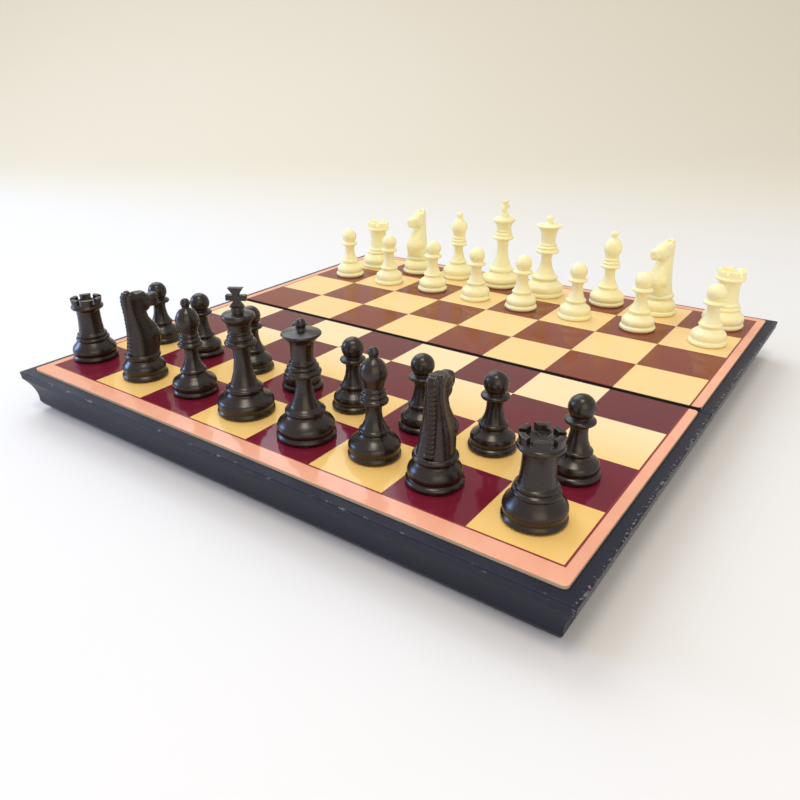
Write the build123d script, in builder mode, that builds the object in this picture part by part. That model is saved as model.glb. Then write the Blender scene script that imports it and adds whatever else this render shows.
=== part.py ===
from build123d import *
from math import cos, radians, sin, sqrt
import os

# A folding magnetic travel chess set, open flat and set up for a game.
#
# Two hinged trays carry a printed panel each. The playing surface faces up, and the far tray
# swings down and under the near one, so that the undersides close into a storage box.
# Millimetres. X runs along the near edge, Y from the near edge to the far one, Z up.
# The origin is on the table, under the middle of the open board.

os.makedirs("parts", exist_ok=True)

# ---------------------------------------------------------------- driving dimensions
square = 28.5
side_border = 4.0
near_border = 7.5
far_border = 5.0
panel_depth = 118.0
panel_width = 8 * square + 2 * side_border
panel_thickness = 1.2
panel_corner = 1.6
panel_edge = 0.2
sheet_thickness = 0.5
sheet_margin = 0.1
panel_clearance = 0.25

flange_width = 4.5
seam_gap = 0.4
seam_rim = 1.05
seam_wall = 2.0

board_top = 18.5
flange_top = 17.5
lip_height = 3.7
lip_lean = 0.3
lip_round = 0.5
cove_inset = 3.9
cove_bottom = 3.6
rim_inset = 4.7
rim_bottom = 2.1
deck_thickness = 1.8
wall_inset = 6.7
pocket_corner = 3.0

hinge_height = 2.0
hinge_place = 92.0
knuckle_radius = 2.0
knuckle_length = 6.0
middle_knuckle = 9.4
knuckle_gap = 0.3
knuckle_relief = 2.35
pin_radius = 0.80
pin_bore = 0.85
pin_length = 20.8

post_radius = 2.5
post_clearance = 0.25
post_near = 5.0
post_step = 7.0
tongue_width = 14.0
tongue_thickness = 1.6
tongue_reach = 0.3
tongue_top = 8.0
tongue_gap = 0.2

magnet_height = 3.0
magnet_gap = 0.1

half_depth = seam_gap / 2 + seam_rim + panel_clearance + panel_depth + flange_width
half_width = panel_width / 2 + flange_width
panel_start = seam_gap / 2 + seam_rim + panel_clearance
panel_middle = panel_start + panel_depth / 2
recess_floor = board_top - panel_thickness - sheet_thickness
deck_under = recess_floor - deck_thickness
near_edge_of_squares = -(panel_start + panel_depth - near_border)
far_edge_of_squares = panel_start + panel_depth - far_border


def draw(steps, start):
    """Draws edges from start: a step of two numbers is a straight edge to that point, and
    a step of four is an arc through the first point to the second. Returns the last point."""
    at = start
    for step in steps:
        if len(step) == 4:
            ThreePointArc(at, step[:2], step[2:])
            at = step[2:]
        else:
            Line(at, step)
            at = step
    return at


# ---------------------------------------------------------------- trays
def moulded_side(reach):
    """The outside of a tray wall from its rim up to the flange, whose lip is at reach."""
    foot = reach - rim_inset
    cove = reach - cove_inset
    lip = reach - lip_lean
    under_lip = flange_top - lip_height
    return [
        (foot, rim_bottom),
        (cove, cove_bottom),
        (cove + 0.75, cove_bottom + 5.6, lip - 0.3, under_lip),
        (lip, under_lip + 0.3),
        (reach, flange_top - lip_round),
        (reach - 0.15, flange_top - 0.15, reach - lip_round, flange_top),
    ]


def knuckle_spans(is_near):
    """The stretches of hinge barrel, along X, that one tray carries at each hinge."""
    outer = middle_knuckle / 2 + knuckle_gap
    spans = []
    for centre in (-hinge_place, hinge_place):
        if is_near:
            spans.append((centre - outer - knuckle_length, centre - outer))
            spans.append((centre + outer, centre + outer + knuckle_length))
        else:
            spans.append((centre - middle_knuckle / 2, centre + middle_knuckle / 2))
    return spans


def make_tray(is_near):
    """One half of the box: a deck with a rebate on top, coved outer walls, an open underside,
    its share of the hinge knuckles, and posts that the closed box locates on."""
    side = -1 if is_near else 1
    with BuildPart() as tray:
        with BuildSketch(Plane.XZ):
            with BuildLine():
                last = draw(moulded_side(half_width), (0, rim_bottom))
                Line(last, (0, flange_top))
                Line((0, flange_top), (0, rim_bottom))
            make_face()
            mirror(about=Plane.YZ)
        extrude(amount=2 * half_depth, both=True)
        with BuildSketch(Plane.YZ):
            with BuildLine():
                last = draw(moulded_side(half_depth), (seam_gap / 2, rim_bottom))
                Line(last, (seam_gap / 2, flange_top))
                Line((seam_gap / 2, flange_top), (seam_gap / 2, rim_bottom))
            make_face()
            if is_near:
                mirror(about=Plane.YZ, mode=Mode.REPLACE)
        extrude(amount=2 * half_width, both=True, mode=Mode.INTERSECT)

        with BuildSketch(Plane.XY.offset(recess_floor)):
            with Locations((0, side * panel_middle)):
                RectangleRounded(
                    panel_width + 2 * panel_clearance,
                    panel_depth + 2 * panel_clearance,
                    panel_corner + panel_clearance,
                )
        extrude(amount=board_top - recess_floor, mode=Mode.SUBTRACT)

        pocket_from = seam_gap / 2 + seam_wall
        pocket_to = half_depth - wall_inset
        with BuildSketch(Plane.XY.offset(rim_bottom)):
            with Locations((0, side * (pocket_from + pocket_to) / 2)):
                RectangleRounded(
                    2 * (half_width - wall_inset), pocket_to - pocket_from, pocket_corner
                )
        extrude(amount=deck_under - rim_bottom, mode=Mode.SUBTRACT)

        inset = post_near if is_near else post_near + post_step
        post_x = half_width - wall_inset - post_clearance - post_radius
        post_ys = (pocket_from + inset, pocket_to - inset)
        with BuildSketch(Plane.XY):
            with Locations(*[(x, side * y) for x in (-post_x, post_x) for y in post_ys]):
                Circle(post_radius)
        extrude(amount=deck_under + 0.5)

        for low, high in knuckle_spans(not is_near):
            with BuildSketch(Plane.YZ.offset(low - knuckle_gap)):
                with Locations((0, hinge_height)):
                    Circle(knuckle_relief)
            extrude(amount=high - low + 2 * knuckle_gap, mode=Mode.SUBTRACT)
        for low, high in knuckle_spans(is_near):
            with BuildSketch(Plane.YZ.offset(low)):
                with Locations((0, hinge_height)):
                    Circle(knuckle_radius)
            extrude(amount=high - low)
        for centre in (-hinge_place, hinge_place):
            inward = -1 if centre > 0 else 1
            blind = centre - inward * (pin_length / 2 + 0.1)
            with BuildSketch(Plane.YZ.offset(blind)):
                with Locations((0, hinge_height)):
                    Circle(pin_bore)
            extrude(amount=inward * (pin_length + 2), mode=Mode.SUBTRACT)

        if is_near:
            face = half_depth - wall_inset - tongue_gap
            with BuildSketch(Plane.XY.offset(tongue_reach)):
                with Locations((0, side * (face - tongue_thickness / 2))):
                    Rectangle(tongue_width, tongue_thickness)
            extrude(amount=tongue_top - tongue_reach)
            with BuildSketch(Plane.XY.offset(rim_bottom + 0.4)):
                with Locations((0, side * (face + 0.2))):
                    Rectangle(tongue_width, 1.0)
            extrude(amount=tongue_top - rim_bottom - 0.4)
    return tray.part


near_tray = make_tray(True)
near_tray.label = "near_tray"
export_step(near_tray, "parts/near_tray.step")
far_tray = make_tray(False)
far_tray.label = "far_tray"
export_step(far_tray, "parts/far_tray.step")

# ---------------------------------------------------------------- panels, sheets and pins
for half, side in (("near", -1), ("far", 1)):
    with BuildPart() as sheet:
        with BuildSketch(Plane.XY.offset(recess_floor)):
            with Locations((0, side * panel_middle)):
                RectangleRounded(
                    panel_width - 2 * sheet_margin, panel_depth - 2 * sheet_margin, panel_corner
                )
        extrude(amount=sheet_thickness)
    sheet.part.label = f"{half}_steel_sheet"
    export_step(sheet.part, f"parts/{half}_steel_sheet.step")

    with BuildPart() as panel:
        with BuildSketch(Plane.XY.offset(recess_floor + sheet_thickness)):
            with Locations((0, side * panel_middle)):
                RectangleRounded(panel_width, panel_depth, panel_corner)
        extrude(amount=panel_thickness)
        fillet(panel.edges().group_by(Axis.Z)[-1], panel_edge)
    panel.part.label = f"{half}_playing_panel"
    export_step(panel.part, f"parts/{half}_playing_panel.step")

for hand, centre in (("left", -hinge_place), ("right", hinge_place)):
    with BuildPart() as pin:
        with BuildSketch(Plane.YZ.offset(centre - pin_length / 2)):
            with Locations((0, hinge_height)):
                Circle(pin_radius)
        extrude(amount=pin_length)
    pin.part.label = f"{hand}_hinge_pin"
    export_step(pin.part, f"parts/{hand}_hinge_pin.step")


# ---------------------------------------------------------------- chessmen
def ring(radius, low, high):
    """A rounded ring standing out to radius between two heights."""
    root = radius - 0.35 * (high - low)
    return [(root, low), (radius, (low + high) / 2, root, high)]


def foot(radius, dome, dome_top, neck, neck_height):
    """The base that all the men share: a foot ring, a groove, a dome and a neck."""
    shoulder = dome - 0.25 * (dome - dome_top)
    return [
        (radius - 0.9, 0.0),
        (radius, 1.15, radius - 0.5, 2.1),
        (dome - 0.35, 2.4),
        (dome, 3.3, shoulder, (3.0 + neck_height) / 2 + 0.3),
        (dome_top, neck_height - 0.9),
        (neck, neck_height),
    ]


def stem(bottom, low, top, high):
    """A stem that flares towards its foot, from radius bottom at height low up to top at high."""
    waist = top + 0.25 * (bottom - top)
    return [(bottom, low), (waist, low + 0.32 * (high - low), top, high)]


def ball(radius, neck, centre):
    """A ball on a neck, closed on the axis."""
    start = centre - sqrt(radius**2 - neck**2)
    return [(neck, start), (radius, centre, 0.0, centre + radius)]


outlines = {
    "pawn": foot(8.1, 7.4, 5.4, 4.5, 7.4)
    + ring(4.9, 8.0, 9.5)
    + stem(3.9, 10.2, 2.75, 17.6)
    + ring(4.7, 18.0, 19.4)
    + ball(4.1, 2.8, 23.0),
    "rook": foot(9.4, 9.1, 7.4, 6.7, 8.0)
    + ring(6.9, 8.3, 9.8)
    + ring(6.2, 10.2, 11.4)
    + stem(5.3, 11.7, 4.8, 21.6)
    + ring(6.6, 22.2, 23.8)
    + [(6.0, 24.1), (6.4, 26.8), (0.0, 26.8)],
    "knight": foot(9.1, 8.4, 7.4, 6.4, 7.4) + ring(7.1, 8.0, 10.4) + [(0.0, 10.4)],
    "bishop": foot(8.7, 8.5, 5.8, 4.8, 7.8)
    + ring(5.0, 8.4, 10.0)
    + stem(3.9, 10.7, 2.6, 18.2)
    + ring(4.7, 18.8, 20.4)
    + ring(4.1, 20.9, 22.0)
    + ring(3.7, 22.6, 23.8)
    + [(3.2, 24.4), (3.8, 26.2), (4.4, 29.6, 2.7, 32.9), (1.4, 33.7)]
    + ball(1.8, 1.4, 35.6),
    "queen": foot(10.3, 9.9, 7.6, 6.4, 8.0)
    + ring(6.9, 8.8, 10.6)
    + stem(5.0, 11.5, 2.9, 22.2)
    + ring(6.1, 22.8, 24.4)
    + ring(5.3, 24.9, 26.2)
    + ring(4.5, 26.6, 27.6)
    + [(3.7, 28.0), (4.0, 33.4), (4.5, 34.4), (6.3, 36.3), (6.6, 36.8, 6.2, 37.2), (1.6, 38.0)]
    + ball(1.8, 1.5, 40.0),
    "king": foot(10.5, 10.3, 7.0, 6.2, 7.9)
    + ring(6.8, 8.4, 10.2)
    + stem(5.0, 11.0, 3.1, 25.2)
    + ring(5.7, 25.8, 27.6)
    + ring(4.7, 28.1, 29.3)
    + ring(4.2, 29.9, 31.1)
    + [(3.9, 31.6), (4.3, 33.8), (5.4, 35.2), (5.9, 36.3, 5.2, 37.3)]
    + [(2.2, 37.8), (2.2, 39.8), (0.0, 39.8)],
}
magnet_radii = {"pawn": 4.5, "rook": 6.0, "knight": 6.0, "bishop": 5.0, "queen": 6.5, "king": 6.5}

cross_half = [(2.7, 39.5), (1.1, 41.6), (1.1, 42.0), (3.6, 42.0), (3.6, 43.8), (1.1, 43.8)]
cross_half += [(1.1, 44.2), (2.7, 46.4)]
cross_thickness = 2.2
merlon_floor = 24.8
merlon_bore = 4.3
merlon_gap = 1.9
slot_width = 0.8
slot_height = 30.6

# Knight: half-lengths fore and aft, half-widths, and how far each section sits forward.
neck_sections = [
    (10.2, 6.2, 5.9, 0.2),
    (15.0, 6.9, 5.6, 1.4),
    (17.5, 7.0, 5.2, 1.6),
    (21.0, 6.0, 4.5, 0.8),
    (25.0, 4.7, 3.7, -0.5),
    (29.0, 4.7, 3.2, -0.7),
    (33.5, 5.1, 3.1, -0.4),
    (35.0, 4.6, 2.6, -0.5),
]
muzzle_sections = [(0.0, 3.2, 2.9), (3.5, 3.1, 2.9), (6.5, 2.5, 2.4), (9.0, 2.3, 2.2)]
poll = (0.6, 31.4)
head_slope = -8
ear_forward = -2.6
ear_height = 35.0
ear_length = 2.6


def make_man(kind, x, y, turn, seat):
    """One chessman without its magnet, standing at x, y and turned about its own axis."""
    along = (cos(radians(turn)), sin(radians(turn)), 0)
    across = (along[1], -along[0], 0)
    upright = Plane(origin=(x, y, board_top), x_dir=along, z_dir=across)
    level = Plane(origin=(x, y, board_top), x_dir=along, z_dir=(0, 0, 1))
    with BuildPart() as man:
        with BuildSketch(upright):
            with BuildLine():
                last = draw(outlines[kind], (0, 0))
                Line(last, (0, 0))
            make_face()
        revolve(axis=Axis((x, y, 0), (0, 0, 1)))
        if kind == "king":
            with BuildSketch(upright):
                with BuildLine():
                    Polyline((0, 39.5), *cross_half, (0, 46.4), close=True)
                make_face()
                mirror(about=Plane.YZ)
            extrude(amount=cross_thickness / 2, both=True)
        if kind == "rook":
            with BuildSketch(level.offset(merlon_floor)):
                Circle(merlon_bore)
                with PolarLocations(merlon_bore + 2, 6):
                    Rectangle(6, merlon_gap)
            extrude(amount=5, mode=Mode.SUBTRACT)
        if kind == "bishop":
            cut = Plane(level.location * Location((3.4, 0, slot_height), (0, -40, 0)))
            with BuildSketch(cut):
                Rectangle(4.4, 10)
            extrude(amount=slot_width / 2, both=True, mode=Mode.SUBTRACT)
        if kind == "knight":
            for height, length, width, forward in neck_sections:
                with BuildSketch(level.offset(height)):
                    with Locations((forward, 0)):
                        Ellipse(length, width)
            loft()
            head = Plane(level.location * Location((poll[0], 0, poll[1]), (0, 90 - head_slope, 0)))
            for reach, deep, wide in muzzle_sections:
                with BuildSketch(head.offset(reach)):
                    Ellipse(deep, wide)
            loft()
            with Locations(*[level.location * Pos(ear_forward, side, ear_height) for side in (-1.5, 1.5)]):
                Cone(1.1, 0.6, ear_length)
        with BuildSketch(level):
            Circle(seat + magnet_gap)
        extrude(amount=magnet_height + 2 * magnet_gap, mode=Mode.SUBTRACT)
    return man.part


def make_magnet(x, y, radius):
    """The disc magnet pressed up into a man's base, a hair clear of the panel."""
    with BuildPart() as magnet:
        with BuildSketch(Plane.XY.offset(board_top + magnet_gap)):
            with Locations((x, y)):
                Circle(radius)
        extrude(amount=magnet_height)
    return magnet.part


officers = ["rook", "knight", "bishop", "queen", "king", "bishop", "knight", "rook"]
wings = ["queenside", "queenside", "queenside", "", "", "kingside", "kingside", "kingside"]
# Seen from the near side the king stands left of the queen, so the row runs from h to a.
officers.reverse()
wings.reverse()

back_step = 0.5 * square
armies = {
    "black": (near_edge_of_squares + back_step, near_edge_of_squares + 3 * back_step),
    "white": (far_edge_of_squares - back_step, far_edge_of_squares - 3 * back_step),
}
# Which way a man faces, in degrees from +X, where that shows.
turns = {
    "black_kingside_knight": 92,
    "black_queenside_knight": 103,
    "white_kingside_knight": 272,
    "white_queenside_knight": 254,
    "black_king": 30,
    "white_king": 96,
}
# How far each man stands from the middle of its square, as a hand leaves it.
nudges = {
    "black_kingside_rook": (-8.5, 1.5),
    "black_kingside_knight": (-2.0, 1.0),
    "black_kingside_bishop": (-1.5, 2.5),
    "black_king": (-1.5, 2.0),
    "black_queen": (0.5, 0.5),
    "black_queenside_bishop": (-1.0, 3.0),
    "black_queenside_knight": (-5.0, 0.5),
    "black_queenside_rook": (-1.0, 0.5),
    "black_pawn_1": (-1.5, 4.0),
    "black_pawn_2": (-1.0, 3.5),
    "black_pawn_3": (1.0, 3.5),
    "black_pawn_4": (1.0, 1.5),
    "black_pawn_5": (0.0, -1.0),
    "black_pawn_6": (0.5, 0.0),
    "black_pawn_7": (-1.0, 1.0),
    "black_pawn_8": (-1.0, 0.0),
    "white_kingside_rook": (3.0, -3.5),
    "white_kingside_knight": (2.5, -1.0),
    "white_kingside_bishop": (-0.5, 2.0),
    "white_king": (-1.0, 1.5),
    "white_queen": (-2.0, -1.5),
    "white_queenside_bishop": (3.0, 1.5),
    "white_queenside_knight": (0.0, 1.5),
    "white_queenside_rook": (2.5, -1.0),
    "white_pawn_1": (1.5, -1.5),
    "white_pawn_2": (1.5, -1.5),
    "white_pawn_3": (1.0, 0.5),
    "white_pawn_4": (0.0, -0.5),
    "white_pawn_5": (-1.5, -1.5),
    "white_pawn_6": (-2.0, 0.0),
    "white_pawn_7": (0.0, 1.0),
    "white_pawn_8": (3.0, -0.5),
}

for army, (back_row, pawn_row) in armies.items():
    for file, kind in enumerate(officers):
        seat = magnet_radii[kind]
        name = "_".join(word for word in (army, wings[file], kind) if word)
        x = (file - 3.5) * square + nudges[name][0]
        y = back_row + nudges[name][1]
        turn = turns.get(name, 150 if kind == "bishop" else 12 * file)
        man = make_man(kind, x, y, turn, seat)
        man.label = name
        export_step(man, f"parts/{name}.step")
        magnet = make_magnet(x, y, seat)
        magnet.label = f"{name}_magnet"
        export_step(magnet, f"parts/{name}_magnet.step")
    for file in range(8):
        seat = magnet_radii["pawn"]
        name = f"{army}_pawn_{file + 1}"
        x = (file - 3.5) * square + nudges[name][0]
        y = pawn_row + nudges[name][1]
        pawn = Compound(
            label=name,
            children=[make_man("pawn", x, y, 0, seat), make_magnet(x, y, seat)],
        )
        export_step(pawn, f"parts/{name}.step")

print("open board", 2 * half_width, "x", 2 * half_depth, "x", board_top, "mm")
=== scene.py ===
# %% [markdown]
# # A folding magnetic travel chess set
#
# This notebook dresses a finished CAD model: a plastic box that folds in half, a printed panel on each
# half, and thirty-two magnetic men. The frame holds the true sizes and the moving bodies. Here every man
# is turned, cut or sculpted again as a smooth mesh, and every surface gets its own finish.
#
# The first cell loads the frame and moves each of its meshes into world coordinates, so that the boxes of its
# parts can be read.

# %% Load the frame
import bpy
import math
from mathutils import Matrix, Vector


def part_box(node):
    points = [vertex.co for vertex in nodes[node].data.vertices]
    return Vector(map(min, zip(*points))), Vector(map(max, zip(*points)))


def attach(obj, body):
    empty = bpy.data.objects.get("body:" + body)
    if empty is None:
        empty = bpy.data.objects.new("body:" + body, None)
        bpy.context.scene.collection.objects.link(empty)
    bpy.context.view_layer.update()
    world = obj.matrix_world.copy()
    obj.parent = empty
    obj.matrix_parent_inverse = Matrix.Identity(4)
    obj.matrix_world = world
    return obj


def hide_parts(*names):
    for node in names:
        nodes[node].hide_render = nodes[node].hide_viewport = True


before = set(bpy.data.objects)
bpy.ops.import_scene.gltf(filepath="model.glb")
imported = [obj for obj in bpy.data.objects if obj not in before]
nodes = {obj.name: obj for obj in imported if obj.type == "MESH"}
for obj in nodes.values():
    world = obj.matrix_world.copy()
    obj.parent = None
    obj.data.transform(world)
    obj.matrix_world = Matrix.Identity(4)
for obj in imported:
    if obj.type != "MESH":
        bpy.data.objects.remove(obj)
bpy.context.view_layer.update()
mm = 0.001

# %% [markdown]
# ## Where things are
#
# A new piece has to stand exactly where its CAD node stands, so all places are read from the frame: each
# man's foot from its own box, and the height of the playing surface from the panels.

# %% Read places from the frame
panel_low, panel_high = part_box("near_playing_panel")
far_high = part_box("far_playing_panel")[1]
tray_low, tray_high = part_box("near_tray")
board_top = panel_high.z
squares_a_side = 8
square = 28.5 * mm
near_border = 7.5 * mm
far_border = 5.0 * mm
near_row = panel_low.y + near_border
far_row = far_high.y - far_border - squares_a_side * square
first_file = -squares_a_side / 2 * square

ARMIES = ("black", "white")
OFFICERS = [
    ("kingside_rook", "rook"),
    ("kingside_knight", "knight"),
    ("kingside_bishop", "bishop"),
    ("king", "king"),
    ("queen", "queen"),
    ("queenside_bishop", "bishop"),
    ("queenside_knight", "knight"),
    ("queenside_rook", "rook"),
]
PAWNS = [(f"pawn_{file}", "pawn") for file in range(1, squares_a_side + 1)]


def standing_place(node, kind):
    """The middle of a man's foot on the playing surface."""
    low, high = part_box(node if kind == "pawn" else f"{node}_magnet")
    return Vector(((low.x + high.x) / 2, (low.y + high.y) / 2, board_top))


print("board top", round(board_top / mm, 2), "mm")

# %% [markdown]
# ## A small kit for materials
#
# A procedural material is a tree of nodes that works a colour or a height out from a point's place. These
# helpers add one node at a time and join it up, so that the finishes below read almost like sums.
# Object coordinates are in metres and don't move with the camera, so a pattern stays on its piece.


# %% Node helpers
def wire(tree, socket, value):
    """Fills an input: a socket is linked, and anything else is set as a plain value."""
    if isinstance(value, bpy.types.NodeSocket):
        tree.links.new(value, socket)
    else:
        socket.default_value = value


def add(tree, kind, inputs, **options):
    """Adds a node with its options, and fills the inputs given by name or by number."""
    made = tree.nodes.new(kind)
    for option, value in options.items():
        setattr(made, option, value)
    for socket, value in inputs.items():
        wire(tree, made.inputs[socket], value)
    return made


def sums(tree, operation, *values):
    """One arithmetic step, such as ADD or GREATER_THAN."""
    return add(tree, "ShaderNodeMath", dict(enumerate(values)), operation=operation).outputs[0]


def rise(tree, value, start, end):
    """Goes smoothly from 0 at start to 1 at end. End may lie below start."""
    inputs = {"Value": value, "From Min": start, "From Max": end}
    made = add(tree, "ShaderNodeMapRange", inputs, interpolation_type="SMOOTHSTEP")
    return made.outputs[0]


def tint(tree, share, first, second):
    """Mixes two colours: share 0 gives the first and share 1 the second."""
    made = add(tree, "ShaderNodeMix", {0: share, 6: first, 7: second}, data_type="RGBA")
    return made.outputs[2]


def speckle(tree, place, size, detail=2.0, stretch=None):
    """Cloudy noise with lumps of about that size in metres, from 0 to 1."""
    if stretch:
        inputs = {"Vector": place, "Scale": stretch}
        place = add(tree, "ShaderNodeMapping", inputs, vector_type="POINT").outputs[0]
    inputs = {"Vector": place, "Scale": 1 / size, "Detail": detail}
    return add(tree, "ShaderNodeTexNoise", inputs).outputs[0]


def start_material(name):
    """A new material with its shader and the Object coordinates, whole and split into X, Y and Z."""
    material = bpy.data.materials.new(name)
    material.use_nodes = True
    tree = material.node_tree
    shader = tree.nodes["Principled BSDF"]
    place = add(tree, "ShaderNodeTexCoord", {}).outputs["Object"]
    axes = add(tree, "ShaderNodeSeparateXYZ", {0: place}).outputs
    return material, tree, shader, place, axes


def roughen(tree, shader, height, depth):
    """Bumps a surface by a height from 0 to 1, where 1 stands depth metres proud."""
    inputs = {"Height": height, "Distance": depth, "Strength": 1.0}
    bump = add(tree, "ShaderNodeBump", inputs)
    tree.links.new(bump.outputs[0], shader.inputs["Normal"])


# %% [markdown]
# ## Tray plastic
#
# The two halves of the box are moulded in black polystyrene with a fine spark-eroded grain. Their colour is
# tinted blue here as a painted sheen of cool light. The grain is a bump about half a millimetre wide. Where
# the box has been handled, the top edge of the flange is rubbed pale, so a second pattern finds that edge
# from its distance to the outer walls and breaks it up. A third adds finer scuffs along the lip on the
# right-hand side.


# %% Make the tray plastic
# The blue in these two base colours is a painted sheen of cool light on black plastic.
tray_dark = (0.006, 0.008, 0.022, 1)
tray_cloudy = (0.013, 0.015, 0.034, 1)
tray_rubbed = (0.34, 0.33, 0.34, 1)
rub_start, rub_width = 0.9 * mm, 0.7 * mm
flange_band = (15.9 * mm, 17.3 * mm)
lip_band = (12.6 * mm, 15.0 * mm)
scuff_band = (tray_high.x - 1.6 * mm, tray_high.x - 0.8 * mm)
rub_strength, scuff_strength = 0.55, 0.5


def make_tray_plastic():
    material, tree, shader, place, axes = start_material("tray_plastic")
    grain = speckle(tree, place, 0.45 * mm, 3.0)
    cloud = speckle(tree, place, 14 * mm, 4.0)
    base = tint(tree, cloud, tray_dark, tray_cloudy)

    across = sums(tree, "SUBTRACT", sums(tree, "ABSOLUTE", axes["X"]), tray_high.x - rub_start)
    along = sums(tree, "SUBTRACT", sums(tree, "ABSOLUTE", axes["Y"]), -tray_low.y - rub_start)
    outermost = sums(tree, "MAXIMUM", across, along)
    near_edge = rise(tree, outermost, 0.0, rub_width)
    high_up = rise(tree, axes["Z"], *flange_band)
    rubbed = speckle(tree, place, 2.6 * mm, 6.0, (1.0, 1.0, 2.5))
    patches = rise(tree, rubbed, 0.60, 0.70)
    wear = sums(tree, "MULTIPLY", sums(tree, "MULTIPLY", near_edge, high_up), patches)

    scratch = speckle(tree, place, 1.3 * mm, 5.0, (1.0, 1.0, 4.0))
    scuffs = rise(tree, scratch, 0.56, 0.62)
    on_lip = rise(tree, axes["Z"], *lip_band)
    right_side = rise(tree, axes["X"], *scuff_band)
    scuffed = sums(tree, "MULTIPLY", sums(tree, "MULTIPLY", scuffs, on_lip), right_side)
    rubs = sums(tree, "MULTIPLY", wear, rub_strength)
    scrapes = sums(tree, "MULTIPLY", scuffed, scuff_strength)
    worn = sums(tree, "MAXIMUM", rubs, scrapes)
    colour = tint(tree, worn, base, tray_rubbed)
    tree.links.new(colour, shader.inputs["Base Color"])

    rough = sums(tree, "MULTIPLY_ADD", grain, 0.22, 0.32)
    tree.links.new(rough, shader.inputs["Roughness"])
    shader.inputs["Specular IOR Level"].default_value = 0.28
    roughen(tree, shader, grain, 0.14 * mm)
    return material


tray_plastic = make_tray_plastic()
for name in ("near_tray", "far_tray"):
    nodes[name].data.materials[0] = tray_plastic
print("tray plastic on both trays")

# %% [markdown]
# ## The printed panels
#
# Each half carries a stiff card panel with a glossy print: eight files of squares, a thin dark line round
# them and a salmon border. The print is worked out from a point's place. Dividing by the size of a square
# and rounding down gives the file and the rank, and a square is dark when their sum is even. Below the
# printed face the cut edge of the card shows pale, but beside the seam it is painted dark as shade in the
# gap between the halves. The near inks grow paler towards the seam as a painted reflection of the warm
# wall, the far inks are lighter and warmer as the same painted reflection, and a few chips go through the
# ink.


# %% Make the printed panels
line_width = 0.7 * mm
# Between these ranks the near inks turn to their glare colours: a painted reflection of the warm wall.
glare_start_rank, glare_end_rank = 1.2, 3.2
chip_spacing = 11 * mm
chip_radius = 0.034 * chip_spacing
chipped_share = 0.10
bare_card = (0.86, 0.80, 0.72, 1)
cut_edge = (0.62, 0.50, 0.36, 1)
seam_painted_shade = (0.030, 0.020, 0.015, 1)
seam_reach = 2.5 * mm
card_depth, ink_depth = 0.22 * mm, 0.12 * mm
card_roughness = (0.7, 0.7, 0.7, 1)


def make_print(name, row_start, inks):
    material, tree, shader, place, axes = start_material(name)
    half_side = squares_a_side / 2
    file = sums(tree, "DIVIDE", sums(tree, "SUBTRACT", axes["X"], first_file), square)
    rank = sums(tree, "DIVIDE", sums(tree, "SUBTRACT", axes["Y"], row_start), square)
    both = sums(tree, "ADD", sums(tree, "FLOOR", file), sums(tree, "FLOOR", rank))
    is_light = sums(tree, "MODULO", sums(tree, "ABSOLUTE", both), 2.0)

    file_out = sums(tree, "ABSOLUTE", sums(tree, "SUBTRACT", file, half_side))
    rank_out = sums(tree, "ABSOLUTE", sums(tree, "SUBTRACT", rank, half_side))
    outside = sums(tree, "SUBTRACT", sums(tree, "MAXIMUM", file_out, rank_out), half_side)
    in_border = sums(tree, "GREATER_THAN", outside, 0.0)
    beyond_line = sums(tree, "GREATER_THAN", outside, line_width / square)

    cloud = speckle(tree, place, 30 * mm, 3.0)
    dark = tint(tree, cloud, inks["dark"], inks["dark_shift"])
    light = tint(tree, cloud, inks["light"], inks["light_shift"])
    # Painted reflection: towards the seam the inks are paler, as glare from the warm wall.
    glare_share = rise(tree, rank, glare_start_rank, glare_end_rank)
    dark = tint(tree, glare_share, dark, inks["dark_under_glare"])
    light = tint(tree, glare_share, light, inks["light_under_glare"])
    border = tint(tree, speckle(tree, place, 9 * mm, 5.0), inks["border"], inks["border_shift"])
    colour = tint(tree, is_light, dark, light)
    colour = tint(tree, in_border, colour, inks["line"])
    colour = tint(tree, beyond_line, colour, border)

    chips = add(tree, "ShaderNodeTexVoronoi", {"Vector": place, "Scale": 1 / chip_spacing})
    close = sums(tree, "LESS_THAN", chips.outputs["Distance"], chip_radius / chip_spacing)
    lot = add(tree, "ShaderNodeSeparateColor", {0: chips.outputs["Color"]}).outputs[0]
    chipped = sums(tree, "MULTIPLY", close, sums(tree, "LESS_THAN", lot, chipped_share))
    colour = tint(tree, chipped, colour, bare_card)

    printed = rise(tree, axes["Z"], board_top - card_depth, board_top - ink_depth)
    # Beside the seam the cut edge is painted dark, as shade in the narrow gap between the halves.
    at_seam = sums(tree, "LESS_THAN", sums(tree, "ABSOLUTE", axes["Y"]), seam_reach)
    edge = tint(tree, at_seam, cut_edge, seam_painted_shade)
    colour = tint(tree, printed, edge, colour)
    tree.links.new(colour, shader.inputs["Base Color"])
    smears = speckle(tree, place, 22 * mm, 5.0)
    gloss = sums(tree, "MULTIPLY_ADD", smears, 0.08, 0.06)
    rough = tint(tree, printed, card_roughness, gloss)
    tree.links.new(rough, shader.inputs["Roughness"])
    shader.inputs["Specular IOR Level"].default_value = 0.25
    roughen(tree, shader, speckle(tree, place, 7 * mm, 1.0), 0.03 * mm)
    return material


near_inks = {
    "dark": (0.165, 0.010, 0.028, 1),
    "dark_shift": (0.190, 0.014, 0.036, 1),
    "light": (0.96, 0.61, 0.17, 1),
    "light_shift": (0.96, 0.67, 0.26, 1),
    # These two glare colours are a painted reflection of the warm wall, towards the seam.
    "dark_under_glare": (0.140, 0.024, 0.034, 1),
    "light_under_glare": (0.97, 0.76, 0.46, 1),
    "line": (0.25, 0.030, 0.035, 1),
    "border": (0.88, 0.37, 0.24, 1),
    "border_shift": (0.93, 0.52, 0.37, 1),
}
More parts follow.
